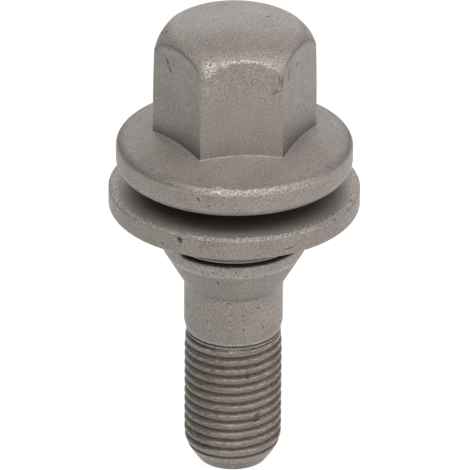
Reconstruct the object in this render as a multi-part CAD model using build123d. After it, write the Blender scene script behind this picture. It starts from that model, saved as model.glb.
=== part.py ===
from build123d import *
import os
from math import asin, cos, pi, radians, sin, tan

# Wheel bolt with a loose captive washer. Millimetres, standing on its thread end:
# the centre of the end face is the origin and +Z runs along the axis to the head.

# Threaded end
thread_crest_d = 11.86       # M12 x 1.25, crests of a coated 6g thread
thread_end_d = 8.5           # flat end face
lead_half_angle = 35.0       # taper that starts the thread
thread_length = 17.2         # end face to the run-out groove
thread_fade_length = 2.2     # last turns, where the crests fall away
thread_fade_d = 11.5
runout_d = 11.2
runout_width = 0.6

# Plain shank
shank_d = 12.0
shank_length = 6.4           # run-out groove to the root of the seat
shank_end_d = 11.46
shank_chamfer_length = 1.0

# Conical seat and the collar above it
seat_half_angle = 30.0
seat_root_fillet = 0.2
collar_d = 17.3
collar_height = 1.2
collar_edge = 0.2

# Neck that carries the washer
neck_d = 14.4
neck_length = 9.39
neck_bevel = 0.5             # where the neck runs into the flange

# Flange, in one piece with the head
flange_d = 28.5
flange_rim_height = 3.81
flange_top_radius = 1.1
flange_bottom_edge = 0.8
flange_slope = 20.0          # fall of the top face towards the rim

# Hexagon head, domed on top
hex_across_flats = 17.0
hex_corner_radius = 0.3
head_height = 19.61          # underside of the flange to the crown of the dome
dome_radius = 23.0
shoulder_radius = 3.8

# Captive washer
washer_d = 30.3
washer_rim_height = 2.7
washer_top_edge = 0.4
washer_bottom_edge = 0.2
bearing_width = 3.0          # flat ring that presses on the wheel
hub_height = 4.0             # below the flat ring
hub_wall = 0.9               # at the lower end of the hub
hub_land = 0.35              # straight lip at the lower end of the hub
bore_edge = 0.4
bore_clearance = 0.3         # radial, on the neck
collar_clearance = 0.35      # under the hub, where the washer hangs

# The head's round blank is as wide as the hexagon's corners
head_blank_d = hex_across_flats / cos(pi / 6)

# Heights along the axis
lead_length = (thread_crest_d - thread_end_d) / 2 / tan(radians(lead_half_angle))
shank_z = thread_length + runout_width
seat_z = shank_z + shank_length
collar_z = seat_z + (collar_d - shank_d) / 2 / tan(radians(seat_half_angle))
neck_z = collar_z + collar_height
flange_z = neck_z + neck_length
crown_z = flange_z + head_height
hub_z = neck_z + collar_clearance
bearing_z = hub_z + hub_height
washer_top_z = bearing_z + washer_rim_height

tolerance = 1e-4             # when an edge is looked up by its place


def turned(outline):
    """Solid of revolution about Z of a closed outline of (radius, height) points."""
    return revolve(Plane.XZ * make_face(outline), Axis.Z)


def ring_edges(solid, radius, height):
    """Circular edges of one radius at one height."""
    circles = solid.edges().filter_by(GeomType.CIRCLE)
    level = circles.filter_by(lambda edge: abs(edge.center().Z - height) < tolerance)
    return level.filter_by(lambda edge: abs(edge.radius - radius) < tolerance)


def shank():
    """Tapered end, thread at its crest diameter, run-out groove, plain shank, seat, collar and neck."""
    solid = turned(Polyline(
        (0, 0),
        (thread_end_d / 2, 0),
        (thread_crest_d / 2, lead_length),
        (thread_crest_d / 2, thread_length - thread_fade_length),
        (thread_fade_d / 2, thread_length),
        (runout_d / 2, thread_length),
        (runout_d / 2, shank_z),
        (shank_end_d / 2, shank_z),
        (shank_d / 2, shank_z + shank_chamfer_length),
        (shank_d / 2, seat_z),
        (collar_d / 2, collar_z),
        (collar_d / 2, neck_z),
        (neck_d / 2, neck_z),
        (neck_d / 2, flange_z),
        (0, flange_z),
        close=True,
    ))
    solid = fillet(ring_edges(solid, shank_d / 2, seat_z), seat_root_fillet)
    return chamfer(ring_edges(solid, collar_d / 2, neck_z), collar_edge)


def flange():
    """Flat underside with a broken edge, rounded crest and a top face that rises to the hexagon."""
    slope = radians(flange_slope)
    outer_r = flange_d / 2
    top_r = outer_r - flange_top_radius
    top_z = flange_z + flange_rim_height - flange_top_radius
    crest = (top_r + flange_top_radius * sin(slope), top_z + flange_top_radius * cos(slope))
    apex = (0, crest[1] + crest[0] * tan(slope))
    foot = (outer_r - flange_bottom_edge, flange_z)
    rim_foot = (outer_r, flange_z + flange_bottom_edge)
    return turned([
        Polyline(crest, apex, (0, flange_z), foot, rim_foot, (outer_r, top_z)),
        RadiusArc((outer_r, top_z), crest, -flange_top_radius),
    ])


def hex_head():
    """Round blank with a dome and a rolled shoulder, brought to a hexagon by its flats."""
    blank_r = head_blank_d / 2
    shoulder_r = blank_r - shoulder_radius
    dome_z = crown_z - dome_radius
    lean = asin(shoulder_r / (dome_radius - shoulder_radius))
    shoulder_z = dome_z + (dome_radius - shoulder_radius) * cos(lean)
    dome_edge = (dome_radius * sin(lean), dome_z + dome_radius * cos(lean))
    half_way = (lean + pi / 2) / 2
    shoulder_middle = (
        shoulder_r + shoulder_radius * sin(half_way),
        shoulder_z + shoulder_radius * cos(half_way),
    )
    dome_middle = (dome_radius * sin(lean / 2), dome_z + dome_radius * cos(lean / 2))
    blank = turned([
        Polyline((0, crown_z), (0, flange_z), (blank_r, flange_z), (blank_r, shoulder_z)),
        ThreePointArc((blank_r, shoulder_z), shoulder_middle, dome_edge),
        ThreePointArc(dome_edge, dome_middle, (0, crown_z)),
    ])
    section = RegularPolygon(hex_across_flats / 2, 6, major_radius=False)
    prism = Pos(0, 0, flange_z) * extrude(fillet(section.vertices(), hex_corner_radius), head_height)
    return blank & prism


def bolt():
    """The whole bolt as one solid, with a bevel where the neck runs into the flange."""
    solid = shank() + flange() + hex_head()
    return chamfer(ring_edges(solid, neck_d / 2, flange_z), neck_bevel)


def washer():
    """Rim with a flat bearing ring below, and a tapered hub that hangs down over the neck."""
    outer_r = washer_d / 2
    bore_r = neck_d / 2 + bore_clearance
    hub_end_r = bore_r + hub_wall
    hub_root_r = outer_r - washer_bottom_edge - bearing_width
    solid = turned(Polyline(
        (bore_r, hub_z),
        (hub_end_r, hub_z),
        (hub_end_r, hub_z + hub_land),
        (hub_root_r, bearing_z),
        (outer_r, bearing_z),
        (outer_r, washer_top_z),
        (bore_r, washer_top_z),
        close=True,
    ))
    solid = chamfer(ring_edges(solid, outer_r, bearing_z), washer_bottom_edge)
    solid = chamfer(ring_edges(solid, bore_r, washer_top_z), bore_edge)
    return chamfer(ring_edges(solid, outer_r, washer_top_z), washer_top_edge)


os.makedirs("parts", exist_ok=True)
for name, piece in (("bolt", bolt()), ("washer", washer())):
    export_step(piece, f"parts/{name}.step")
    print(name, "volume", round(piece.volume, 1), "top", round(piece.bounding_box().max.Z, 2))
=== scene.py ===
from math import acos, asin, atan2, cos, exp, hypot, inf, pi, radians, sin, sqrt, tan

import bmesh
import bpy
from mathutils import Matrix, Vector
from mathutils.kdtree import KDTree


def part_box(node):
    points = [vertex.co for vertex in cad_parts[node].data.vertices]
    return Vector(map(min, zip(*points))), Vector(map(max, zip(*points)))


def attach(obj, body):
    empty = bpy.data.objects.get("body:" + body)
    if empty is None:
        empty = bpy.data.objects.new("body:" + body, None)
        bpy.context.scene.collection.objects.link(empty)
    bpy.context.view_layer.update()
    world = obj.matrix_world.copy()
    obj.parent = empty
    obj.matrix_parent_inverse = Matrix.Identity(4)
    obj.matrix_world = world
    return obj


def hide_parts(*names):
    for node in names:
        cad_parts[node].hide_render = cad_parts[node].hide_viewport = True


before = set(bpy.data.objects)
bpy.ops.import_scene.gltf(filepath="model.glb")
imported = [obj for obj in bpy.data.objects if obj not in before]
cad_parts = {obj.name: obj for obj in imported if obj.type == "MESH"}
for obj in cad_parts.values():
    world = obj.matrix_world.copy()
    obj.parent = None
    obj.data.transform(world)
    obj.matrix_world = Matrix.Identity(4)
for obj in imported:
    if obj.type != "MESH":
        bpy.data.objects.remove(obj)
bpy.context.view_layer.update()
mm = 0.001   # pieces are modelled in millimetres and brought to metres when they are finished
near = 0.05  # mm, play when a ring of vertices is looked up by its place
print("stage: frame loaded, nodes", sorted(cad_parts))


# Helpers for modelling

def clamped(value, low=0, high=1):
    return min(max(value, low), high)


def facing(angle):  # 1 where a turned surface faces the front, falling to 0 at the sides
    return max(-sin(angle), 0)


def amountAt(amount, angle):  # how strong a mark is; some change round the piece
    return amount(angle) if callable(amount) else amount


def deselectAll():
    if bpy.context.mode != "OBJECT":
        bpy.ops.object.mode_set(mode="OBJECT")
    bpy.ops.object.select_all(action="DESELECT")


def pick(*objects):
    deselectAll()
    for obj in objects:
        obj.select_set(True)
    bpy.context.view_layer.objects.active = objects[0]


def selectEdges(test):  # in edit mode, selects the edges that pass the test and nothing else
    bpy.ops.mesh.select_mode(type="EDGE")
    bpy.ops.mesh.select_all(action="DESELECT")
    mesh = bpy.context.edit_object.data
    cage = bmesh.from_edit_mesh(mesh)
    for edge in cage.edges:
        if test(edge):
            edge.select_set(True)
    bmesh.update_edit_mesh(mesh)


def placeRing(place, wearAndPaintedLight):  # puts the selected ring where place says, column by column
    mesh = bpy.context.edit_object.data
    cage = bmesh.from_edit_mesh(mesh)
    layer = cage.verts.layers.float["wearAndPaintedLight"]
    for vert in cage.verts:
        if vert.select:
            angle = atan2(vert.co.y, vert.co.x)
            radius, height = place(angle)
            vert.co = (radius * cos(angle), radius * sin(angle), height)
            vert[layer] = amountAt(wearAndPaintedLight, angle)
    bmesh.update_edit_mesh(mesh)


def extrudeRing(place, wearAndPaintedLight=0.0):
    bpy.ops.mesh.extrude_region_move()
    placeRing(place, wearAndPaintedLight)


def splitRuns(points, spacing):  # adds points on long straight runs
    outline = [points[0]]
    for here, there in zip(points, points[1:]):
        parts = max(1, round((there - here).length / spacing))
        outline += [here.lerp(there, (part + 1) / parts) for part in range(parts)]
    return outline


def roundedOutline(corners, steps=5):
    # corners are (radius, height, rounding); a rounded corner becomes an arc
    points = []
    last = len(corners) - 1
    for index, (radius, height, rounding) in enumerate(corners):
        here = Vector((radius, height))
        if rounding == 0 or index in (0, last):
            points.append(here)
            continue
        back = (Vector(corners[index - 1][:2]) - here).normalized()
        ahead = (Vector(corners[index + 1][:2]) - here).normalized()
        half = back.angle(ahead) / 2
        middle = here + (back + ahead).normalized() * rounding / sin(half)
        start = here + back * rounding / tan(half) - middle
        turn = start.angle_signed(here + ahead * rounding / tan(half) - middle)
        for step in range(steps + 1):
            points.append(middle + Matrix.Rotation(-turn * step / steps, 2) @ start)
    return points


def drawSection(name, points):  # half-section drawn by extruding one vertex from point to point
    deselectAll()
    bpy.ops.mesh.primitive_plane_add(size=1.0)
    piece = bpy.context.object
    piece.name = piece.data.name = name
    bpy.ops.object.mode_set(mode="EDIT")
    bpy.ops.mesh.select_mode(type="VERT")
    bpy.ops.mesh.select_all(action="SELECT")
    bpy.ops.mesh.merge(type="CENTER")
    bpy.ops.transform.translate(value=(points[0].x, 0, points[0].y))
    for here, there in zip(points, points[1:]):
        move = there - here
        bpy.ops.mesh.extrude_region_move(TRANSFORM_OT_translate={"value": (move.x, 0, move.y)})
    bpy.ops.object.mode_set(mode="OBJECT")
    return piece


def turnSection(piece, columns, turns=1, rise=0.0):  # turns a half-section about the axis, or along a helix
    pick(piece)
    bpy.ops.object.modifier_add(type="SCREW")
    screw = piece.modifiers[-1]
    screw.axis = "Z"
    screw.angle = 2 * pi
    screw.steps = screw.render_steps = columns
    screw.iterations = turns
    screw.screw_offset = rise
    screw.use_merge_vertices = rise == 0
    screw.merge_threshold = 0.001
    bpy.ops.object.modifier_apply(modifier=screw.name)
    return piece


def closeMesh(piece, nearby=0.003):  # merges doubles and turns the faces outwards
    pick(piece)
    bpy.ops.object.mode_set(mode="EDIT")
    bpy.ops.mesh.select_all(action="SELECT")
    bpy.ops.mesh.remove_doubles(threshold=nearby)
    bpy.ops.mesh.dissolve_degenerate(threshold=nearby / 2)
    bpy.ops.mesh.select_all(action="SELECT")
    bpy.ops.mesh.normals_make_consistent(inside=False)
    bpy.ops.object.mode_set(mode="OBJECT")


def marksOf(piece):  # how bare and how dirty each vertex is, together with painted light and painted shade, for the finishes to read
    layers = piece.data.attributes
    names = ("wearAndPaintedLight", "grimeAndShade")
    for name in names:
        if name not in layers:
            layers.new(name, "FLOAT", "POINT")
    return {name: layers[name].data for name in names}


def toMetres(piece):
    pick(piece)
    piece.scale = (mm, mm, mm)
    bpy.ops.object.transform_apply(location=True, rotation=True, scale=True)


# Bolt: domed hexagon, flange and neck are grown ring by ring from the crown

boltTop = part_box("bolt")[1].z / mm

head = {  # millimetres; wear, dirt, painted light and painted shade run from 0 to 1
    "acrossFlats": 17.0,
    "cornerRadius": 0.2,
    "draftTop": 0.991,        # the flats draw in a little towards the top, as forged
    "draftFoot": 1.007,
    "frontEdge": 0.5,         # rounding where a flat meets the dome, on the front flat and on the others
    "sideEdge": 0.4,
    "footFillet": 0.2,
    "domeRadius": 25.5,
    "shoulderRadius": 3.8,
    "flangeUnder": 39.38,     # height of the flange's underside
    "flangeRadius": 14.25,
    "flangeRim": 3.81,        # underside to the top of the crest's rounding
    "crestRadius": 0.95,
    "underRadius": 1.25,
    "slope": radians(20.0),
    "neckRadius": 7.2,
    "neckFillet": 0.5,
    "neckJoin": 36.0,         # height at which head and shank are joined, hidden by the washer
    "flatColumns": 30,
    "cornerColumns": 6,
    "shoulderWearAndLight": 0.14,      # how pale each edge is painted, for wear; the shoulder, the front and the flange's edges also carry painted light
    "frontWearAndHighlight": 0.62,         # upper edge of the front flat, and past its corners up to this turn: bare metal and painted highlight
    "frontHighlightEnd": radians(33.0),
    "sideRub": 0.05,          # upper edges of the other flats
    "footRub": 0.15,
    # paler flange crest in front: worn metal and painted highlight
    "crestWearAndHighlight": 0.4,
    # paler lower edge of the flange at the sides: painted reflection
    "underPaintedReflection": 0.35,
    "underShade": 0.6,         # painted shade under the flange, and on the neck
    "crestDirtAndShade": 0.22,        # dark line along the flange's crest, away from the front: dirt and painted shade
    "crestLine": 0.6,         # how far over the rounding it reaches
    "edgeDirtAndShade": 0.55,         # dark line along the upper edges of the flats, from this turn on: coat chips and painted shade
    "edgeDirtAndShadeFrom": radians(31.0),
    "edgeLine": 0.6,          # where on the rounding it starts
    "footShade": 0.7,          # painted shade at the foot of the flats, and of the front one
    "frontFootShade": 0.08,
    "shadeTop": 11.0,          # no painted shade on the flats further above the foot
    "frontReach": 2.5,        # over which height it thins: on the front flat, at the back,
    "backReach": 0.7,
    "besideReach": 1.9,       # and how much more right beside the front
    "leftShade": 0.12,         # painted shade: the flat on the left is painted a little darker than the rest
    "leftFrom": radians(182.0),
    "leftTo": radians(239.0),
}

flatRadius = head["acrossFlats"] / 2
blankRadius = flatRadius / cos(pi / 6)
cornerCentre = (flatRadius - head["cornerRadius"]) / cos(pi / 6)
halfFlat = (flatRadius - head["cornerRadius"]) * tan(pi / 6)
shoulderCentre = blankRadius - head["shoulderRadius"]
domeCentre = boltTop - head["domeRadius"]
domeLean = asin(shoulderCentre / (head["domeRadius"] - head["shoulderRadius"]))
shoulderHeight = domeCentre + (head["domeRadius"] - head["shoulderRadius"]) * cos(domeLean)
crestCentre = head["flangeRadius"] - head["crestRadius"]
crestHeight = head["flangeUnder"] + head["flangeRim"] - head["crestRadius"]
slopeTop = crestHeight + head["crestRadius"] / cos(head["slope"]) + crestCentre * tan(head["slope"])


def hexRadius(angle):  # outline of the rounded hexagon; two of its flats face along Y
    fromFlat = abs((angle % (pi / 3)) - pi / 6)
    if fromFlat <= atan2(halfFlat, flatRadius):
        return flatRadius / cos(fromFlat)
    aside = pi / 6 - fromFlat
    rest = head["cornerRadius"] ** 2 - (cornerCentre * sin(aside)) ** 2
    return cornerCentre * cos(aside) + sqrt(max(rest, 0))


def columnAngles():
    corner = head["cornerRadius"]
    angles = []
    for side in range(6):
        normal = pi / 6 + side * pi / 3
        for step in range(head["flatColumns"]):
            along = halfFlat * (2 * step / head["flatColumns"] - 1)
            angles.append(normal + atan2(along, flatRadius))
        for step in range(head["cornerColumns"]):
            swing = pi / 3 * step / head["cornerColumns"] - pi / 6
            angles.append(normal + pi / 6 + atan2(corner * sin(swing), cornerCentre + corner * cos(swing)))
    return angles


def fromFront(angle):  # how far a column is turned from the front flat's middle
    return abs((angle + pi / 2 + pi) % (2 * pi) - pi)


def edgeRounding(angle):
    return head["frontEdge"] if fromFront(angle) < pi / 6 else head["sideEdge"]


def edgeCentre(angle):  # centre of the rounding between flat and shoulder, and where it meets the shoulder
    rounding = edgeRounding(angle)
    reach = head["shoulderRadius"] - rounding
    across = hexRadius(angle) * head["draftTop"] - rounding
    meets = acos(min((across - shoulderCentre) / reach, 1.0))
    return across, shoulderHeight + reach * sin(meets), meets


# Each row gives radius and height of a ring at one angle; share runs from 0 to 1 down the row

def domeRow(angle, share):
    lean = domeLean * share
    return head["domeRadius"] * sin(lean), domeCentre + head["domeRadius"] * cos(lean)


def shoulderRow(angle, share):
    radius = head["shoulderRadius"]
    start = pi / 2 - domeLean
    rise = start + (edgeCentre(angle)[2] - start) * share
    return shoulderCentre + radius * cos(rise), shoulderHeight + radius * sin(rise)


def edgeRow(angle, share):
    across, height, meets = edgeCentre(angle)
    rise = meets * (1 - share)
    rounding = edgeRounding(angle)
    return across + rounding * cos(rise), height + rounding * sin(rise)


def footCentre(angle):
    fillet = head["footFillet"]
    across = hexRadius(angle) * head["draftFoot"] + fillet
    return across, slopeTop - across * tan(head["slope"]) + fillet / cos(head["slope"])


def wallRow(angle, share):
    top = edgeCentre(angle)[1]
    draft = head["draftFoot"] + (head["draftTop"] - head["draftFoot"]) * (1 - share) ** 3
    return hexRadius(angle) * draft, top + (footCentre(angle)[1] - top) * share


def footRow(angle, share):
    across, height = footCentre(angle)
    turn = pi + (pi / 2 - head["slope"]) * share
    return across + head["footFillet"] * cos(turn), height + head["footFillet"] * sin(turn)


def slopeRow(angle, share):
    start = footRow(angle, 1.0)[0]
    end = crestCentre + head["crestRadius"] * sin(head["slope"])
    across = start + (end - start) * share
    return across, slopeTop - across * tan(head["slope"])


def crestRow(angle, share):
    rise = (pi / 2 - head["slope"]) * (1 - share)
    return crestCentre + head["crestRadius"] * cos(rise), crestHeight + head["crestRadius"] * sin(rise)


def rimRow(angle, share):
    foot = head["flangeUnder"] + head["underRadius"]
    return head["flangeRadius"], crestHeight + (foot - crestHeight) * share


def underEdgeRow(angle, share):
    drop = pi / 2 * share
    radius = head["underRadius"]
    across = head["flangeRadius"] - radius + radius * cos(drop)
    return across, head["flangeUnder"] + radius - radius * sin(drop)


def undersideRow(angle, share):
    start = head["flangeRadius"] - head["underRadius"]
    end = head["neckRadius"] + head["neckFillet"]
    return start + (end - start) * share, head["flangeUnder"]


def neckFilletRow(angle, share):
    turn = pi / 2 * share
    fillet = head["neckFillet"]
    return head["neckRadius"] + fillet * (1 - sin(turn)), head["flangeUnder"] - fillet * (1 - cos(turn))


def neckRow(angle, share):
    start = head["flangeUnder"] - head["neckFillet"]
    return head["neckRadius"], start + (head["neckJoin"] - start) * share


def underPaintedReflection(angle):  # painted reflection: the flange's lower edge is painted palest at the sides
    return head["underPaintedReflection"] * abs(cos(angle)) ** 2


def crestWearAndHighlight(angle):  # the flange's crest is painted palest in front: worn metal and painted highlight
    return head["crestWearAndHighlight"] * facing(angle) ** 4


def topWearAndLight(angle):  # the front flat's upper edge is painted pale, knocked metal and painted highlight; the rest hardly
    return head["frontWearAndHighlight"] if fromFront(angle) < head["frontHighlightEnd"] else head["sideRub"]


headRows = (  # row shape, how many rings, how pale the edge is painted, for wear and painted light
    (domeRow, 10, 0.0),
    (shoulderRow, 9, head["shoulderWearAndLight"]),
    (edgeRow, 6, topWearAndLight),
    (wallRow, 26, 0.0),
    (footRow, 5, head["footRub"]),
    (slopeRow, 9, 0.0),
    (crestRow, 9, crestWearAndHighlight),
    (rimRow, 4, 0.0),
    (underEdgeRow, 6, underPaintedReflection),
    (undersideRow, 1, 0.0),
    (neckFilletRow, 3, 0.0),
    (neckRow, 2, 0.0),
)


def growHead():
    angles = columnAngles()
    deselectAll()
    bpy.ops.mesh.primitive_circle_add(vertices=len(angles), radius=1.0, fill_type="TRIFAN")
    piece = bpy.context.object
    piece.name = piece.data.name = "bolt_coated"
    bpy.ops.object.mode_set(mode="EDIT")
    mesh = piece.data
    cage = bmesh.from_edit_mesh(mesh)
    cage.verts.layers.float.new("wearAndPaintedLight")
    ring = [vert for vert in cage.verts if vert.is_boundary]
    ring.sort(key=lambda vert: atan2(vert.co.y, vert.co.x) % (2 * pi))
    for vert, angle in zip(ring, sorted(turn % (2 * pi) for turn in angles)):
        vert.co = (cos(angle), sin(angle), 0)
    for vert in cage.verts:
        if not vert.is_boundary:
            vert.co = (0, 0, boltTop)
    bmesh.update_edit_mesh(mesh)
    selectEdges(lambda edge: edge.is_boundary)
    shape, rings, wearAndPaintedLight = headRows[0]
    placeRing(lambda angle: shape(angle, 1 / rings), wearAndPaintedLight)
    for shape, rings, wearAndPaintedLight in headRows:
        for step in range(rings):
            if shape is domeRow and step == 0:
                continue  # the first ring is the primitive's own
            share = (step + 1) / rings
            extrudeRing(lambda angle: shape(angle, share), wearAndPaintedLight if share < 1 else 0.0)
    bpy.ops.object.mode_set(mode="OBJECT")
    return piece


# painted shade under the flange, at the foot of the flats and over the left flat; dirt with painted shade
# along the crest and the flats' upper edges away from the front
def headShade(angle, radius, height):
    if height < head["flangeUnder"] + near:
        return head["underShade"]
    crestStart, crestEnd = crestRow(angle, 0.0)[0], crestRow(angle, head["crestLine"])[0]
    if crestStart - near < radius < crestEnd and height > crestHeight:
        return head["crestDirtAndShade"] * (1 - facing(angle) ** 4)
    edgeLow, edgeHigh = edgeRow(angle, 1.0)[1], edgeRow(angle, head["edgeLine"])[1]
    if fromFront(angle) > head["edgeDirtAndShadeFrom"] and edgeLow - near < height < edgeHigh:
        return head["edgeDirtAndShade"]
    footRadius, footHeight = footRow(angle, 0.5)
    above = height - footHeight
    if not 0 <= above < head["shadeTop"] or radius > footRadius:
        return 0.0
    if fromFront(angle) < pi / 6:
        return head["frontFootShade"] * exp(-above / head["frontReach"])
    beside = max(1 - (fromFront(angle) - pi / 6) / (pi / 3), 0)
    low = head["footShade"] * exp(-above / (head["backReach"] + head["besideReach"] * beside))
    onLeft = head["leftFrom"] < angle % (2 * pi) < head["leftTo"]
    return max(low, head["leftShade"]) if onLeft else low


def shadeHead(piece):
    for vert, mark in zip(piece.data.vertices, marksOf(piece)["grimeAndShade"]):
        mark.value = headShade(atan2(vert.co.y, vert.co.x), hypot(vert.co.x, vert.co.y), vert.co.z)


# Bolt: collar, conical seat and plain shank are turned from a half-section

shank = {  # millimetres; heights from the thread end
    "columns": 192,
    "ringSpacing": 0.35,
    "joinGap": 2.0,           # left open below the head, and bridged when the two are joined
    "collarTop": 29.99,
    "collarFillet": 0.25,
    "collarRadius": 8.65,
    "collarEdge": 0.2,
    "seatTop": 28.79,
    "seatEdge": 0.3,
    "seatRoot": 24.2,
    "seatFillet": 0.2,
    "radius": 6.0,
    "taperTop": 18.8,
    "taperRounding": 1.2,
    "endHeight": 17.8,
    "endRadius": 5.73,
    "endEdge": 0.06,
    "grooveRadius": 5.5,
    "grooveTop": 0.08,        # below the shank's end
    "grooveFoot": 0.34,       # above the thread, as the next three
    "ridgeTop": 0.26,
    "ridgeFoot": 0.13,
    "runoutTop": 0.07,
    "ridgeRadius": 5.72,      # last trace of the thread, half-way down the run-out
    "ridgeEdge": 0.03,
    "runoutRadius": 5.58,
    "runoutEdge": 0.02,
    "runoutHeight": 17.2,
    "collarLight": 0.24,        # how pale the collar is painted, as painted light against the washer's shadow, and how bare the shank's lower edge is
    "edgePale": 0.4,
    # painted shade on the conical seat
    "seatShade": 0.13,
    "sideShade": 1.6,          # how much darker the seat is painted at the sides: painted shade
    "rootDarkLine": 0.4,          # thin dark line where the seat meets the shank, strongest in front
    "endDarkening": 0.1,           # smudge above the run-out
    "slitShade": 0.6,          # painted shade on the collar's top, under the washer
    "grooveDark": 0.5,        # darker in the run-out and in the thread's last groove
    "pushedUp": 0.36,         # the collar's edge is pushed up to the hub on the left
    "pushedDepth": 0.3,       # how far down, and how near to the neck, that reaches
    "pushedFrom": radians(150.0),
    "pushedTo": radians(220.0),
    "pushedEnds": radians(4.0),
}


# painted shade on the seat, darker at the sides
def seatShade(angle):
    return shank["seatShade"] * (1 + shank["sideShade"] * abs(cos(angle)))


def rootDarkLine(angle):
    return shank["rootDarkLine"] * facing(angle) ** 3


# layer, from and to which height, from and to which radius, how strong; the first that fits counts
shankMarks = (
    ("grimeAndShade", shank["collarTop"] - near, inf, 0, shank["collarRadius"] - 0.2, shank["slitShade"]),
    ("wearAndPaintedLight", shank["seatTop"] - 0.45, inf, shank["collarRadius"] - 0.35, inf, shank["collarLight"]),
    ("grimeAndShade", shank["seatRoot"] + 0.12, shank["seatTop"], 0, inf, seatShade),
    ("grimeAndShade", shank["seatRoot"] - 0.12, shank["seatRoot"] + 0.12, 0, inf, rootDarkLine),
    ("grimeAndShade", shank["endHeight"] + 0.25, shank["taperTop"] + 0.3, 0, inf, shank["endDarkening"]),
    ("grimeAndShade", 0, shank["endHeight"], 0, shank["grooveRadius"] + 0.1, shank["grooveDark"]),
    ("wearAndPaintedLight", shank["endHeight"], shank["endHeight"] + 0.2, 0, inf, shank["edgePale"]),
    ("wearAndPaintedLight", 0, shank["endHeight"], shank["ridgeRadius"] - 0.01, shank["ridgeRadius"] + 0.01,
     shank["edgePale"]),
)


def turnShank():
    low = shank["runoutHeight"]
    corners = (
        (head["neckRadius"], head["neckJoin"] - shank["joinGap"], 0),
        (head["neckRadius"], shank["collarTop"], shank["collarFillet"]),
        (shank["collarRadius"], shank["collarTop"], shank["collarEdge"]),
        (shank["collarRadius"], shank["seatTop"], shank["seatEdge"]),
        (shank["radius"], shank["seatRoot"], shank["seatFillet"]),
        (shank["radius"], shank["taperTop"], shank["taperRounding"]),
        (shank["endRadius"], shank["endHeight"], shank["endEdge"]),
        (shank["grooveRadius"], shank["endHeight"] - shank["grooveTop"], shank["ridgeEdge"]),
        (shank["grooveRadius"], low + shank["grooveFoot"], shank["ridgeEdge"]),
        (shank["ridgeRadius"], low + shank["ridgeTop"], shank["ridgeEdge"]),
        (shank["ridgeRadius"], low + shank["ridgeFoot"], shank["ridgeEdge"]),
        (shank["runoutRadius"], low + shank["runoutTop"], shank["runoutEdge"]),
        (shank["runoutRadius"], low, 0),
    )
    points = roundedOutline(corners)
    outline = points[:1] + splitRuns(points[1:], shank["ringSpacing"])  # the hidden neck is left whole
    piece = turnSection(drawSection("shank", outline), shank["columns"])
    marks = marksOf(piece)
    for index, vert in enumerate(piece.data.vertices):
        height, radius = vert.co.z, hypot(vert.co.x, vert.co.y)
        angle = atan2(vert.co.y, vert.co.x) % (2 * pi)
        for layer, bottom, top, inner, outer, amount in shankMarks:
            if bottom < height < top and inner < radius < outer:
                marks[layer][index].value = amountAt(amount, angle)
                break
        depth = shank["pushedDepth"]
        if height > shank["collarTop"] - depth and radius > head["neckRadius"] + depth:
            fromEnds = min(angle - shank["pushedFrom"], shank["pushedTo"] - angle)
            vert.co.z += shank["pushedUp"] * clamped(fromEnds / shank["pushedEnds"])
    return piece


# Bolt: thread rolled along its helix, then faded into the tapered end and the run-out

thread = {  # millimetres
    "pitch": 1.25,
    "crestRadius": 5.93,
    "rootRadius": 5.28,
    "crestWidth": 0.46,
    "crestRounding": ((0.1, 0.05), (0.05, -0.02), (0.014, -0.1)),  # below the crest, and past its edge
    "rootWidth": 0.14,
    "rootRounding": ((0.02, -0.021), (0.1, 0.04)),                 # above the root, and past its edge
    "seamWidth": 0.12,        # fold that rolling leaves along the crest
    "seamDepth": 0.045,
    "seamStain": 0.5,
    "stainAndShade": 0.2,             # painted shade on the flanks, thinner towards the root
    "flankShadeStart": 0.05,       # how far below the crest it starts, and how much further it is full
    "flankShadeRise": 0.06,
    "leastDepth": 0.1,        # a shallower thread has none
    "leadStain": 0.42,        # on the tapered end, up to this height
    "leadHeight": 1.3,
    "lastGroove": 16.5,       # above this height, what lies deeper than the next value is painted darker
    "lastDepth": 0.04,
    "crestDepth": 0.06,       # what lies higher than this counts as crest
    "crestWearAndHighlight": 0.35,         # paler upper edge of the crest: bare metal and painted highlight
    "leadRounding": 0.9,
    "endRadius": 4.25,
    "endRings": (0.97, 0.8, 0.45),
    "leadAngle": radians(35.0),
    "fadeStart": 15.2,
    "fadeRadius": 5.78,
    "rootHold": 10,           # the root keeps its depth nearly up to the run-out
    "crestAtFront": 9.22,     # height of a crest on the side that faces the camera
    "frontAngle": radians(264.4),
    "spareTurns": 4,          # turns rolled past both ends and pressed flat, and how many of them lie below
    "spareBelow": 2,
}


def threadProfile():  # one pitch, root to root, upwards
    pitch, crest, root = thread["pitch"], thread["crestRadius"], thread["rootRadius"]
    crestEdge, rootEdge = thread["crestWidth"] / 2, (pitch - thread["rootWidth"]) / 2
    flankTop = crestEdge + thread["crestRounding"][0][1]
    up = [(root, -pitch / 2)]
    up += [(root + rise, past - rootEdge) for rise, past in thread["rootRounding"]]
    up += [((root + crest) / 2, -(rootEdge + flankTop) / 2)]
    up += [(crest - drop, -crestEdge - past) for drop, past in thread["crestRounding"]]
    up += [(crest, -thread["seamWidth"] / 2), (crest - thread["seamDepth"], 0)]
    down = [(radius, -height) for radius, height in reversed(up[:-1])]
    return [Vector(point) for point in up + down]


def threadLimits(height):  # least and greatest radius at a height
    taper = thread["endRadius"] + height * tan(thread["leadAngle"])
    share = clamped((height - thread["fadeStart"]) / (shank["runoutHeight"] - thread["fadeStart"]))
    crest = thread["crestRadius"] + (thread["fadeRadius"] - thread["crestRadius"]) * share
    rootRise = shank["runoutRadius"] - thread["rootRadius"]
    root = thread["rootRadius"] + rootRise * share ** thread["rootHold"]
    if share == 1:
        crest = root = shank["runoutRadius"]
    blend = thread["leadRounding"]  # the taper runs into the crests in a curve
    mix = clamped(0.5 + (crest - taper) / blend / 2)
    crest += (taper - crest) * mix - blend * mix * (1 - mix)
    return min(root, crest), crest


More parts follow.
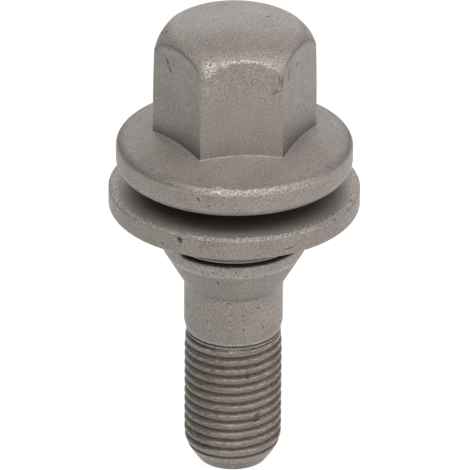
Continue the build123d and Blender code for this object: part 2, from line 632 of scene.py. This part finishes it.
def rollThread():
    pitch = thread["pitch"]
    turns = int(shank["runoutHeight"] / pitch) + thread["spareTurns"]
    crest = thread["crestAtFront"] - pitch * thread["frontAngle"] / (2 * pi)  # its height at angle 0
    start = crest % pitch - thread["spareBelow"] * pitch
    profile = [Vector((point.x, point.y + start)) for point in threadProfile()]
    piece = turnSection(drawSection("thread", profile), shank["columns"], turns, pitch)
    for vert in piece.data.vertices:
        angle = atan2(vert.co.y, vert.co.x)
        height = clamped(vert.co.z, 0.0, shank["runoutHeight"])
        radius = clamped(hypot(vert.co.x, vert.co.y), *threadLimits(height))
        vert.co = (radius * cos(angle), radius * sin(angle), height)
    closeMesh(piece)
    markThread(piece, crest)
    return piece


def markThread(piece, crest):
    pitch = thread["pitch"]
    marks = marksOf(piece)
    for index, vert in enumerate(piece.data.vertices):
        least, most = threadLimits(vert.co.z)
        radius = hypot(vert.co.x, vert.co.y)
        depth = most - radius
        stainAndShade = 0.0
        if most > least + thread["leastDepth"]:
            fromRoot = (radius - least) / (most - least)
            fromCrest = clamped((depth - thread["flankShadeStart"]) / thread["flankShadeRise"])
            stainAndShade = thread["stainAndShade"] * fromRoot * fromCrest
        if vert.co.z < thread["leadHeight"]:
            stainAndShade = thread["leadStain"]
        elif vert.co.z > thread["lastGroove"] and depth > thread["lastDepth"]:
            stainAndShade = shank["grooveDark"]
        aboveCrest = (vert.co.z - crest - pitch * atan2(vert.co.y, vert.co.x) / (2 * pi)) % pitch
        onCrest = depth < thread["crestDepth"]
        if onCrest and thread["seamWidth"] / 2 < aboveCrest < thread["crestWidth"] / 2:
            marks["wearAndPaintedLight"][index].value = thread["crestWearAndHighlight"]
        elif onCrest and min(aboveCrest, pitch - aboveCrest) < thread["seamWidth"] / 4:
            stainAndShade = thread["seamStain"]
        marks["grimeAndShade"][index].value = stainAndShade


def closeThreadEnd(piece):  # flat end face, drawn in from the last ring
    pick(piece)
    bpy.ops.object.mode_set(mode="EDIT")
    selectEdges(lambda edge: edge.is_boundary and all(vert.co.z < near for vert in edge.verts))
    for share in thread["endRings"]:
        extrudeRing(lambda angle: (thread["endRadius"] * share, 0.0))
    bpy.ops.mesh.edge_face_add()
    bpy.ops.mesh.poke()
    bpy.ops.object.mode_set(mode="OBJECT")


def joinBolt():
    bolt = growHead()
    shadeHead(bolt)
    print("stage: head grown,", len(bolt.data.vertices), "vertices")
    lower = turnShank()
    threadPiece = rollThread()
    print("stage: thread rolled,", len(threadPiece.data.vertices), "vertices")
    pick(lower, threadPiece)
    bpy.ops.object.join()
    closeMesh(lower)
    closeThreadEnd(lower)
    pick(bolt, lower)
    bpy.ops.object.join()
    bpy.ops.object.mode_set(mode="EDIT")
    selectEdges(lambda edge: edge.is_boundary)
    bpy.ops.mesh.bridge_edge_loops()
    bpy.ops.object.mode_set(mode="OBJECT")
    closeMesh(bolt)
    return bolt


bolt = joinBolt()
print("stage: bolt joined,", len(bolt.data.polygons), "faces")


# Washer: rim with a flat bearing ring and a tapered hub, turned from a closed half-section

washerLow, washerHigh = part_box("washer")

washer = {  # millimetres
    "columns": 240,
    "ringSpacing": 0.4,
    "radius": washerHigh.x / mm,
    "top": washerHigh.z / mm,
    "hubEnd": washerLow.z / mm + 0.1,  # a little higher than the solid's, for the width of the slit below
    "rimHeight": 2.7,
    "rimRounding": 0.2,
    "bevelWidth": 0.6,        # worn upper edge
    "bevelHeight": 0.22,
    "bevelRounding": 0.5,
    "bottomEdge": 0.4,
    "bearingWidth": 3.2,      # flat ring, with the rounded edge outside it
    "bearingFillet": 0.3,
    "bore": 7.5,
    "boreEdge": 0.4,
    "boreRounding": 0.1,
    "boreEnd": 0.05,          # rounding of the hub's end, inside and outside
    "hubEndEdge": 0.06,
    "hubWall": 0.9,
    "hubLand": 0.38,          # straight end of the hub, which flares a little above the turned line
    "hubFlare": 0.02,
    "lipHeight": 0.2,         # fine turned line just above the end of the hub
    "lipDepth": 0.1,
    "lipWidth": 0.12,
    "edgePale": 0.6,           # how pale the upper edge is painted in front, bare metal and painted highlight, and over what width
    "edgePaleWidth": 0.7,
    "topWearAndLight": 0.45,           # and the top face, paler towards its edge: painted light and wear, and how far in
    "rubWidth": 2.0,
    "underFlangeShade": 0.65,             # painted shade under the flange round the neck, how far out it is full and how far it reaches
    "shadeFull": 11.2,
    "shadeReach": 13.0,
    "endDarkening": 0.6,           # painted shade on the hub's end face, in the slit, up to so far above it
    "endDarkeningRise": 0.01,
}


def turnWasher():
    outer, bore, top, end = washer["radius"], washer["bore"], washer["top"], washer["hubEnd"]
    bearing = top - washer["rimHeight"]
    hubOuter = bore + washer["hubWall"]
    lip = end + washer["lipHeight"]
    corners = (
        (outer, (top + bearing) / 2, 0),
        (outer, top - washer["bevelHeight"], washer["rimRounding"]),
        (outer - washer["bevelWidth"], top, washer["bevelRounding"]),
        (bore + washer["boreEdge"], top, washer["boreRounding"]),
        (bore, top - washer["boreEdge"], washer["boreRounding"]),
        (bore, end, washer["boreEnd"]),
        (hubOuter, end, washer["hubEndEdge"]),
        (hubOuter, lip, 0),
        (hubOuter - washer["lipDepth"], lip + washer["lipWidth"] / 2, 0),
        (hubOuter, lip + washer["lipWidth"], 0),
        (hubOuter + washer["hubFlare"], end + washer["hubLand"], 0),
        (outer - washer["bearingWidth"], bearing, washer["bearingFillet"]),
        (outer, bearing, washer["bottomEdge"]),
        (outer, (top + bearing) / 2, 0),
    )
    piece = drawSection("washer_coated", splitRuns(roundedOutline(corners), washer["ringSpacing"])[:-1])
    pick(piece)
    bpy.ops.object.mode_set(mode="EDIT")
    bpy.ops.mesh.select_mode(type="VERT")
    bpy.ops.mesh.select_all(action="DESELECT")
    cage = bmesh.from_edit_mesh(piece.data)
    for vert in cage.verts:
        if len(vert.link_edges) == 1:
            vert.select_set(True)
    bmesh.update_edit_mesh(piece.data)
    bpy.ops.mesh.edge_face_add()
    bpy.ops.object.mode_set(mode="OBJECT")
    turnSection(piece, washer["columns"])
    closeMesh(piece)
    return piece


def markWasher(piece):
    outer, top = washer["radius"], washer["top"]
    marks = marksOf(piece)
    for index, vert in enumerate(piece.data.vertices):
        if vert.co.z > top - washer["bevelHeight"]:
            radius = hypot(vert.co.x, vert.co.y)
            bareAndLit = washer["topWearAndLight"] * max(1 - (outer - radius) / washer["rubWidth"], 0)
            # the front of the upper edge is painted paler: bare metal and painted highlight
            if radius > outer - washer["edgePaleWidth"]:
                bareAndLit = max(bareAndLit, washer["edgePale"] * facing(atan2(vert.co.y, vert.co.x)) ** 2)
            marks["wearAndPaintedLight"][index].value = bareAndLit
            # painted shade under the flange
            inside = (washer["shadeReach"] - radius) / (washer["shadeReach"] - washer["shadeFull"])
            marks["grimeAndShade"][index].value = washer["underFlangeShade"] * clamped(inside)
        # painted shade on the hub's end face in the slit
        elif vert.co.z < washer["hubEnd"] + washer["endDarkeningRise"]:
            marks["grimeAndShade"][index].value = washer["endDarkening"]


washerRing = turnWasher()
markWasher(washerRing)
print("stage: washer turned,", len(washerRing.data.polygons), "faces")


# Knocks, scratches and pits that handling has left: finer faces where each one lands, then pushed in

knockParts = ("seenFrom", "angle", "at", "length", "width", "lean", "depth", "dark")
boltKnocks = (  # angle and lean in degrees; at is the height, or the radius on what is seen from the top
    ("side", 197.0, 54.85, 1.1, 0.26, -42, 0.08, 0.95),    # scratches on the left flat
    ("side", 201.0, 54.05, 1.05, 0.26, -49, 0.08, 0.95),
    ("side", 204.8, 54.9, 0.28, 0.2, 0, 0.05, 0.75),
    ("side", 198.6, 56.5, 0.5, 0.22, -50, 0.06, 0.75),
    ("side", 226.0, 51.0, 0.32, 0.2, 60, 0.05, 0.75),
    ("side", 173.8, 57.0, 0.45, 0.3, 50, 0.07, 0.95),      # pits on the left shoulder
    ("side", 178.0, 57.4, 0.45, 0.3, 60, 0.07, 0.95),
    ("side", 295.4, 53.15, 1.1, 0.7, 20, 0.14, 0.35),      # dent by the front right corner, grooves above it
    ("side", 299.6, 54.6, 2.4, 0.3, 86, 0.08, 0.55),
    ("side", 297.8, 54.7, 1.6, 0.2, 88, 0.05, 0.55),
    ("side", 309.8, 54.7, 2.0, 0.24, 74, 0.07, 0.8),
    ("side", 324.3, 55.05, 0.9, 0.28, 40, 0.07, 0.9),
    ("side", 334.0, 52.1, 0.3, 0.25, 0, 0.05, 0.75),
    ("side", 326.0, 49.2, 0.4, 0.28, 40, 0.05, 0.75),
    ("side", 342.6, 47.8, 0.32, 0.26, 0, 0.05, 0.75),
    ("top", 13.0, 4.1, 0.85, 0.34, 28, 0.06, 0.75),        # dents in the dome
    ("top", 98.7, 5.05, 0.8, 0.4, 4, 0.05, 0.75),
    ("top", 229.6, 5.74, 0.3, 0.26, 0, 0.05, 0.75),
    ("side", 252.0, 40.95, 0.42, 0.26, 0, 0.08, 0.75),     # flange rim and crest
    ("side", 247.0, 41.7, 0.8, 0.3, -60, 0.05, 0.75),
    ("side", 204.0, 41.0, 0.34, 0.26, 0, 0.05, 0.75),
    ("side", 210.3, 40.3, 0.55, 0.3, 40, 0.07, 0.75),
    ("side", 241.0, 40.0, 0.45, 0.28, 10, 0.06, 0.75),
    ("top", 264.6, 13.45, 0.28, 0.24, 0, 0.05, 0.75),
    ("top", 246.5, 12.55, 0.3, 0.26, 0, 0.05, 0.75),
    ("side", 250.8, 27.4, 1.15, 0.32, 96, 0.08, 0.75),     # conical seat and collar
    ("side", 240.8, 28.55, 0.3, 0.24, 0, 0.05, 0.75),
    ("side", 243.6, 28.6, 0.24, 0.2, 0, 0.05, 0.75),
    ("side", 241.6, 28.05, 0.26, 0.2, 0, 0.05, 0.75),
    ("side", 274.3, 28.75, 0.5, 0.18, -35, 0.05, 0.75),
    ("side", 291.2, 28.4, 0.45, 0.22, 5, 0.05, 0.75),
    ("side", 266.3, 29.35, 0.32, 0.22, 0, 0.05, 0.75),
    ("side", 216.1, 26.15, 0.28, 0.22, 0, 0.05, 0.75),
    ("side", 193.5, 21.4, 1.15, 0.26, -51, 0.07, 0.75),    # plain shank
    ("side", 201.4, 22.0, 0.3, 0.25, 0, 0.05, 0.75),
    ("side", 258.8, 23.75, 0.5, 0.18, 0, 0.05, 0.75),
    ("side", 233.8, 22.4, 0.26, 0.24, 0, 0.05, 0.75),
    ("side", 233.2, 20.9, 0.34, 0.26, 0, 0.05, 0.75),
    ("side", 294.1, 22.8, 0.65, 0.2, 8, 0.06, 0.75),
    ("side", 305.8, 22.85, 0.28, 0.26, 0, 0.05, 0.75),
    ("side", 276.2, 22.0, 0.55, 0.18, 12, 0.05, 0.75),
    ("side", 301.3, 20.05, 0.28, 0.25, 0, 0.05, 0.75),
    ("side", 276.4, 20.1, 0.38, 0.3, 0, 0.05, 0.75),
    ("side", 236.6, 19.7, 0.34, 0.28, 0, 0.05, 0.75),
    ("side", 281.5, 13.45, 0.9, 0.26, -48, 0.12, 0.75),    # bruised thread crests
    ("side", 295.0, 7.25, 1.1, 0.4, 18, 0.12, 0.75),
    ("side", 252.4, 14.6, 0.4, 0.22, 0, 0.08, 0.75),
    ("side", 297.9, 14.8, 0.6, 0.25, 35, 0.1, 0.75),
    ("side", 223.6, 3.3, 0.6, 0.26, 80, 0.1, 0.75),
)
washerKnocks = (
    ("side", 239.1, 36.35, 0.8, 0.62, -50, 0.3, 1.0),      # deep nick in the rim
    ("side", 230.3, 35.25, 0.5, 0.28, 10, 0.06, 0.75),
    ("side", 192.6, 35.7, 0.4, 0.24, 60, 0.05, 0.75),
    ("side", 290.4, 35.3, 2.1, 0.2, 2, 0.06, 0.55),        # scrape low on the rim
    ("side", 329.0, 36.8, 0.4, 0.28, 0, 0.06, 0.75),
    ("side", 317.4, 36.75, 0.32, 0.24, 0, 0.05, 0.75),
    ("top", 336.8, 14.6, 0.5, 0.34, 30, 0.05, 0.75),
)
boltWearAndGlints = (  # angle, height, size, how pale: worn metal and painted glints
    (244.6, 56.4, 1.2, 1.0),                               # corner left of the front flat
    (257.0, 57.0, 0.6, 0.8),
    (256.4, 42.9, 0.7, 0.9),                               # flange crest
    (292.0, 56.6, 0.7, 0.6),
)
clearAside = 40.0    # mm, from where a place on a side or on the top is looked for
clearAbove = 90.0
refineRounds = 5
facesAcross = 3      # faces across the width of a knock
upright = 0.9        # a face that looks up more than this has no sideways direction of its own
creaseAngle = radians(50.0)  # edges sharper than this are shaded sharp


def sidePlace(piece, angle, height):
    out = Vector((cos(radians(angle)), sin(radians(angle)), 0))
    return piece.ray_cast(out * clearAside + Vector((0, 0, height)), -out)[1:3]


def topPlace(piece, angle, radius):
    above = Vector((radius * cos(radians(angle)), radius * sin(radians(angle)), clearAbove))
    return piece.ray_cast(above, Vector((0, 0, -1)))[1:3]


def refineFaces(nearest, knocks):  # splits the faces near each knock until they are fine enough
    mesh = bpy.context.edit_object.data
    for again in range(refineRounds):
        bpy.ops.mesh.select_mode(type="FACE")
        bpy.ops.mesh.select_all(action="DESELECT")
        cage = bmesh.from_edit_mesh(mesh)
        for face in cage.faces:
            place, index, distance = nearest.find(face.calc_center_median())
            size = sqrt(face.calc_area())
            closeBy = distance < knocks[index]["length"] / 2 + size
            if closeBy and size > knocks[index]["width"] / facesAcross:
                face.select_set(True)
        bmesh.update_edit_mesh(mesh)
        bpy.ops.mesh.subdivide(number_cuts=1)


def strike(piece, knockTable):
    bpy.context.view_layer.update()
    knocks = [dict(zip(knockParts, knock)) for knock in knockTable]
    finders = {"side": sidePlace, "top": topPlace}
    spots = [finders[knock["seenFrom"]](piece, knock["angle"], knock["at"]) for knock in knocks]
    nearest = KDTree(len(spots))
    for index, spot in enumerate(spots):
        nearest.insert(spot[0], index)
    nearest.balance()
    pick(piece)
    bpy.ops.object.mode_set(mode="EDIT")
    refineFaces(nearest, knocks)
    cage = bmesh.from_edit_mesh(piece.data)
    grimeAndShade = cage.verts.layers.float["grimeAndShade"]
    for vert in cage.verts:
        place, index, distance = nearest.find(vert.co)
        knock = knocks[index]
        if distance > knock["length"]:
            continue
        normal = spots[index][1]
        looksUp = normal.z > upright
        right = Vector((1, 0, 0)) if looksUp else Vector((0, 0, 1)).cross(normal).normalized()
        turn = Matrix.Rotation(radians(knock["lean"]), 3, normal)
        offset = vert.co - place
        along = offset.dot(turn @ right) / (knock["length"] / 2)
        across = offset.dot(turn @ normal.cross(right)) / (knock["width"] / 2)
        outside = along ** 2 + across ** 2
        if outside < 1:
            vert.co -= normal * knock["depth"] * (1 - outside)
            vert[grimeAndShade] = max(vert[grimeAndShade], knock["dark"] * sqrt(1 - outside))
    bmesh.update_edit_mesh(piece.data)
    bpy.ops.object.mode_set(mode="OBJECT")


# pale spots: worn metal and painted glints
def paintWearAndGlints(piece, rubs):
    wearAndPaintedLight = marksOf(piece)["wearAndPaintedLight"]
    for angle, height, size, bareAndLit in rubs:
        place = sidePlace(piece, angle, height)[0]
        for index, vert in enumerate(piece.data.vertices):
            distance = (vert.co - place).length / size
            if distance < 1:
                wearAndPaintedLight[index].value = max(wearAndPaintedLight[index].value, bareAndLit * (1 - distance ** 2))


paintWearAndGlints(bolt, boltWearAndGlints)
for piece, knocks in ((bolt, boltKnocks), (washerRing, washerKnocks)):
    strike(piece, knocks)
    pick(piece)
    bpy.ops.object.shade_smooth_by_angle(angle=creaseAngle)
    toMetres(piece)
    print("stage: knocks on", piece.name, len(piece.data.polygons), "faces")


# Finishes

def linearColour(text):  # sRGB hex to linear
    channels = [int(text[index:index + 2], 16) / 255 for index in (1, 3, 5)]
    return [c / 12.92 if c <= 0.04045 else ((c + 0.055) / 1.055) ** 2.4 for c in channels] + [1.0]


def perSize(size):  # texture scale for a feature of that many millimetres
    return 1 / (size * mm)


def addNode(tree, kind, inputs=None, **settings):
    node = tree.nodes.new(kind)
    for name, value in settings.items():
        setattr(node, name, value)
    for socket, value in (inputs or {}).items():
        if isinstance(value, bpy.types.NodeSocket):
            tree.links.new(value, node.inputs[socket])
        else:
            node.inputs[socket].default_value = value
    return node


mixShare, mixUnder, mixOver, mixed = 0, 6, 7, 2  # sockets of a Mix node that mixes colours

coat = {  # sizes in millimetres
    "dark": "#655e58",
    "pale": "#aba39c",
    # pale metal colour, for wear and for painted highlights and reflections
    "bareAndLit": "#e6e0d9",
    # dark colour for pits, knocks, dirt and painted shade
    "grimeAndShadeColour": "#2b2826",
    "grain": 0.15,
    "blotch": 4.0,
    "blotchShare": 0.25,      # how much the blotches count beside the grain
    "fleck": 0.24,            # grain of the paler metal and painted highlights, with dark flecks between
    "fleckDark": 0.7,
    "pitSpacing": 2.2,
    "pitRadius": 0.11,        # of the largest pits, and their soft edge, as shares of the spacing
    "pitEdge": 0.05,
    "pitPatch": 5.0,          # patches with more and with fewer pits
    "pitDark": 0.75,
    "relief": 0.045,          # depth of grain and pits
    "metallic": 0.36,
    "roughness": 0.48,
    "roughSpread": 0.08,
    "oil": 0.08,              # thin oil film over the coat
    "oilRoughness": 0.25,
}
washerCoat = {**coat, "dark": "#605953", "pale": "#a79f98"}


def coatedSteel(name, look):
    # zinc flake coat, baked on forged steel: matte warm grey with a fine metallic grain, small pits,
    # and paler rubbed metal where edges have knocked against others; the same attributes paint highlights,
    # reflections and shade
    material = bpy.data.materials.new(name)
    material.use_nodes = True
    tree = material.node_tree
    shader = tree.nodes["Principled BSDF"]
    place = addNode(tree, "ShaderNodeTexCoord").outputs["Object"]
    grain = addNode(tree, "ShaderNodeTexNoise", {
        "Vector": place, "Scale": perSize(look["grain"]), "Detail": 1.0})
    blotch = addNode(tree, "ShaderNodeTexNoise", {
        "Vector": place, "Scale": perSize(look["blotch"]), "Detail": 3.0})
    tone = addNode(tree, "ShaderNodeMath", {
        0: blotch.outputs["Fac"], 1: look["blotchShare"], 2: grain.outputs["Fac"]}, operation="MULTIPLY_ADD")
    toneRange = addNode(tree, "ShaderNodeMapRange", {
        "Value": tone.outputs[0], "From Min": 0.3, "From Max": 0.95})
    colour = addNode(tree, "ShaderNodeMix", {
        mixShare: toneRange.outputs[0],
        mixUnder: linearColour(look["dark"]), mixOver: linearColour(look["pale"])}, data_type="RGBA")

    pits = addNode(tree, "ShaderNodeTexVoronoi", {"Vector": place, "Scale": perSize(look["pitSpacing"])})
    pitField = addNode(tree, "ShaderNodeTexNoise", {
        "Vector": place, "Scale": perSize(look["pitPatch"]), "Detail": 1.0})
    pitSize = addNode(tree, "ShaderNodeMapRange", {
        "Value": pitField.outputs["Fac"], "From Min": 0.42, "From Max": 0.7, "To Max": look["pitRadius"]})
    pitDepth = addNode(tree, "ShaderNodeMath", {
        0: pitSize.outputs[0], 1: pits.outputs["Distance"]}, operation="SUBTRACT")
    pitMask = addNode(tree, "ShaderNodeMapRange", {
        "Value": pitDepth.outputs[0], "From Min": 0.0, "From Max": look["pitEdge"],
        "To Max": look["pitDark"]})

    # wear and painted light: highlights, reflections and paler zones
    wearAndPaintedLight = addNode(tree, "ShaderNodeAttribute", attribute_name="wearAndPaintedLight")
    fleck = addNode(tree, "ShaderNodeTexNoise", {
        "Vector": place, "Scale": perSize(look["fleck"]), "Detail": 3.0, "Roughness": 0.75})
    fleckMask = addNode(tree, "ShaderNodeMapRange", {
        "Value": fleck.outputs["Fac"], "From Min": 0.49, "From Max": 0.55, "To Min": 0.1})
    darkFleck = addNode(tree, "ShaderNodeMapRange", {
        "Value": fleck.outputs["Fac"], "From Min": 0.45, "From Max": 0.4, "To Max": look["fleckDark"]})
    darkMask = addNode(tree, "ShaderNodeMath", {
        0: wearAndPaintedLight.outputs["Fac"], 1: darkFleck.outputs[0]}, operation="MULTIPLY")
    specks = addNode(tree, "ShaderNodeMath", {
        0: pitMask.outputs[0], 1: darkMask.outputs[0]}, operation="MAXIMUM")
    bareAndLitMask = addNode(tree, "ShaderNodeMath", {
        0: wearAndPaintedLight.outputs["Fac"], 1: fleckMask.outputs[0]}, operation="MULTIPLY")
    finished = addNode(tree, "ShaderNodeMix", {
        mixShare: bareAndLitMask.outputs[0],
        mixUnder: colour.outputs[mixed], mixOver: linearColour(look["bareAndLit"])}, data_type="RGBA")
    # dirt and painted shade
    grimeAndShade = addNode(tree, "ShaderNodeAttribute", attribute_name="grimeAndShade")
    dirtAndShadeMask = addNode(tree, "ShaderNodeMath", {
        0: specks.outputs[0], 1: grimeAndShade.outputs["Fac"]}, operation="MAXIMUM")
    dirtiedAndShaded = addNode(tree, "ShaderNodeMix", {
        mixShare: dirtAndShadeMask.outputs[0],
        mixUnder: finished.outputs[mixed], mixOver: linearColour(look["grimeAndShadeColour"])}, data_type="RGBA")

    rough = addNode(tree, "ShaderNodeMapRange", {
        "Value": grain.outputs["Fac"], "From Min": 0.3, "From Max": 0.7,
        "To Min": look["roughness"] + look["roughSpread"],
        "To Max": look["roughness"] - look["roughSpread"]})
    relief = addNode(tree, "ShaderNodeMath", {
        0: grain.outputs["Fac"], 1: pitMask.outputs[0]}, operation="SUBTRACT")
    bump = addNode(tree, "ShaderNodeBump", {
        "Height": relief.outputs[0], "Distance": look["relief"] * mm, "Strength": 1.0})
    tree.links.new(dirtiedAndShaded.outputs[mixed], shader.inputs["Base Color"])
    tree.links.new(rough.outputs[0], shader.inputs["Roughness"])
    tree.links.new(bump.outputs[0], shader.inputs["Normal"])
    shader.inputs["Metallic"].default_value = look["metallic"]
    shader.inputs["Coat Weight"].default_value = look["oil"]
    shader.inputs["Coat Roughness"].default_value = look["oilRoughness"]
    return material


rolled = {  # sizes in millimetres
    "dark": "#6c645e",
    "pale": "#9a9189",
    # pale metal colour, for bare crests and painted highlight
    "bareAndLit": "#d6cfc6",
    # dark colour for stains, the crest seam and painted shade in the grooves
    "grimeAndShadeColour": "#2f2a27",
    "grain": 0.16,
    "stretch": 0.3,           # scale of the grain across the axis, which draws it out into lines
    "relief": 0.012,
    "metallic": 0.5,
    "roughness": 0.4,
}


def rolledSteel(name, look):
    # thread rolled after forging: burnished, so smoother and browner than the coat,
    # with fine lines round the axis, a seam along the crest, painted shade on the flanks and a painted
    # highlight on the crests' upper edges
    material = bpy.data.materials.new(name)
    material.use_nodes = True
    tree = material.node_tree
    shader = tree.nodes["Principled BSDF"]
    place = addNode(tree, "ShaderNodeTexCoord").outputs["Object"]
    drawn = addNode(tree, "ShaderNodeMapping", {
        "Vector": place, "Scale": (look["stretch"], look["stretch"], 1.0)})
    lines = addNode(tree, "ShaderNodeTexNoise", {
        "Vector": drawn.outputs[0], "Scale": perSize(look["grain"]), "Detail": 3.0, "Roughness": 0.6})
    tone = addNode(tree, "ShaderNodeMapRange", {
        "Value": lines.outputs["Fac"], "From Min": 0.3, "From Max": 0.7})
    colour = addNode(tree, "ShaderNodeMix", {
        mixShare: tone.outputs[0],
        mixUnder: linearColour(look["dark"]), mixOver: linearColour(look["pale"])}, data_type="RGBA")
    bump = addNode(tree, "ShaderNodeBump", {
        "Height": lines.outputs["Fac"], "Distance": look["relief"] * mm, "Strength": 1.0})
    # bare crest edges and painted highlight
    wearAndPaintedLight = addNode(tree, "ShaderNodeAttribute", attribute_name="wearAndPaintedLight")
    fleckMask = addNode(tree, "ShaderNodeMapRange", {
        "Value": lines.outputs["Fac"], "From Min": 0.48, "From Max": 0.62})
    bareAndLitMask = addNode(tree, "ShaderNodeMath", {
        0: wearAndPaintedLight.outputs["Fac"], 1: fleckMask.outputs[0]}, operation="MULTIPLY")
    wornAndLit = addNode(tree, "ShaderNodeMix", {
        mixShare: bareAndLitMask.outputs[0],
        mixUnder: colour.outputs[mixed], mixOver: linearColour(look["bareAndLit"])}, data_type="RGBA")
    # stains, the crest seam and painted shade
    grimeAndShade = addNode(tree, "ShaderNodeAttribute", attribute_name="grimeAndShade")
    stainedAndShaded = addNode(tree, "ShaderNodeMix", {
        mixShare: grimeAndShade.outputs["Fac"],
        mixUnder: wornAndLit.outputs[mixed], mixOver: linearColour(look["grimeAndShadeColour"])}, data_type="RGBA")
    tree.links.new(stainedAndShaded.outputs[mixed], shader.inputs["Base Color"])
    tree.links.new(bump.outputs[0], shader.inputs["Normal"])
    shader.inputs["Metallic"].default_value = look["metallic"]
    shader.inputs["Roughness"].default_value = look["roughness"]
    return material


bolt.data.materials.clear()
bolt.data.materials.append(coatedSteel("zinc_flake_on_forged_steel", coat))
bolt.data.materials.append(rolledSteel("rolled_thread_steel", rolled))
threadTop = shank["runoutHeight"] * mm
for polygon in bolt.data.polygons:
    polygon.material_index = 1 if polygon.center.z < threadTop else 0
washerRing.data.materials.clear()
washerRing.data.materials.append(coatedSteel("zinc_flake_on_pressed_steel", washerCoat))

finished = ((bolt, "bolt", "coated_bolt_steel"), (washerRing, "washer", "coated_washer_steel"))
for piece, node, finish in finished:
    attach(piece, node)
    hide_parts(node)
print("stage: finishes on")


# Floor, light and camera

studio = {
    "sky": 0.0,
    "table": "#5a5a5a",
    "tableSize": 6.0,         # metres
    "tableDrop": 0.02,        # mm, just clear of the thread end
    "tableRoughness": 0.9,
    "tableGlow": 0.93,        # lit from below, so that next to no shadow shows
}

bpy.ops.object.select_all(action="DESELECT")
bpy.ops.mesh.primitive_plane_add(size=studio["tableSize"], location=(0, 0, -studio["tableDrop"] * mm))
floor = bpy.context.object
floor.name = "floor"
paper = bpy.data.materials.new("white_paper_sweep")  # matte and evenly bright, without a horizon
paper.use_nodes = True
paperShader = paper.node_tree.nodes["Principled BSDF"]
paperShader.inputs["Base Color"].default_value = linearColour(studio["table"])
paperShader.inputs["Roughness"].default_value = studio["tableRoughness"]
paperShader.inputs["Emission Color"].default_value = (1, 1, 1, 1)
paperShader.inputs["Emission Strength"].default_value = studio["tableGlow"]
floor.data.materials.append(paper)

world = bpy.data.worlds.new("studio")
world.use_nodes = True
background = world.node_tree.nodes["Background"]
background.inputs["Color"].default_value = (1, 1, 1, 1)
background.inputs["Strength"].default_value = studio["sky"]
bpy.context.scene.world = world
bpy.context.scene.view_settings.view_transform = "Standard"

cameraSetup = {  # millimetres and radians
    "distance": 900.5,        # to the point on the axis
    "axisPoint": 34.7,
    "elevation": 0.47057,
    "azimuth": radians(5.6),  # the hexagon's front flat is turned this far from the camera
    "lens": 572.2,
    "sensor": 36.0,
    "aimHeight": 30.0,
    "aimAside": 0.13,
    "roll": radians(0.393),
    "clip": (10.0, 20000.0),
}


def towards(azimuth, elevation):  # direction from the part to something at that place round it
    return Vector((-sin(azimuth) * cos(elevation), -cos(azimuth) * cos(elevation), sin(elevation)))


def placeCamera(setup):
    right = Vector((cos(setup["azimuth"]), -sin(setup["azimuth"]), 0))
    back = towards(setup["azimuth"], setup["elevation"])
    place = Vector((0, 0, setup["axisPoint"])) + back * setup["distance"]
    aim = Vector((0, 0, setup["aimHeight"])) + right * setup["aimAside"]
    bpy.ops.object.camera_add(location=place * mm)
    camera = bpy.context.object
    camera.name = "photo_camera"
    camera.data.lens = setup["lens"]
    camera.data.sensor_width = setup["sensor"]
    camera.data.clip_start, camera.data.clip_end = [distance * mm for distance in setup["clip"]]
    look = (aim - place).to_track_quat("-Z", "Y").to_matrix().to_4x4()
    camera.matrix_world = Matrix.Translation(place * mm) @ look @ Matrix.Rotation(setup["roll"], 4, "Z")
    bpy.context.scene.camera = camera


# name, azimuth from the camera and elevation in degrees, distance, width and height in metres, watts, tint
softboxes = (
    ("front_top_box", 0, 78, 0.9, 0.9, 0.2, 1.75, "#ffffff"),
    ("front_strip", 0, 67, 0.8, 0.9, 0.16, 1.9, "#ffffff"),
    ("front_box", 0, 40, 0.9, 0.9, 0.25, 2.1, "#fffcf6"),
    ("front_fill", 0, 25, 1.0, 0.9, 0.3, 1.9, "#fffcf6"),
    ("right_box", 75, 30, 1.0, 0.8, 0.8, 4.0, "#fff9ff"),
    ("right_back_box", 130, 30, 1.0, 0.8, 0.8, 0.3, "#fff9ff"),
    ("back_box", 180, 25, 1.0, 0.8, 0.6, 3.1, "#ffffff"),
    ("back_top_box", 180, 60, 1.0, 0.8, 0.5, 0.65, "#ffffff"),
    ("left_back_box", -130, 30, 1.0, 0.8, 0.8, 0.6, "#fff9ff"),
    ("left_top_box", -75, 60, 1.0, 0.6, 0.6, 0.7, "#ffffff"),
    ("right_top_box", 75, 60, 1.0, 0.6, 0.6, 0.3, "#ffffff"),
)


def hangSoftbox(name, azimuth, elevation, distance, width, height, watts, tint):
    centre = Vector((0, 0, cameraSetup["axisPoint"] * mm))
    back = towards(cameraSetup["azimuth"] - radians(azimuth), radians(elevation))
    bpy.ops.object.light_add(type="AREA", location=centre + back * distance)
    light = bpy.context.object
    light.name = name
    light.data.shape = "RECTANGLE"
    light.data.size = width
    light.data.size_y = height
    light.data.energy = watts
    light.data.color = linearColour(tint)[:3]
    light.visible_camera = False
    light.rotation_mode = "QUATERNION"
    light.rotation_quaternion = (-back).to_track_quat("-Z", "Y")


placeCamera(cameraSetup)
for softbox in softboxes:
    hangSoftbox(*softbox)
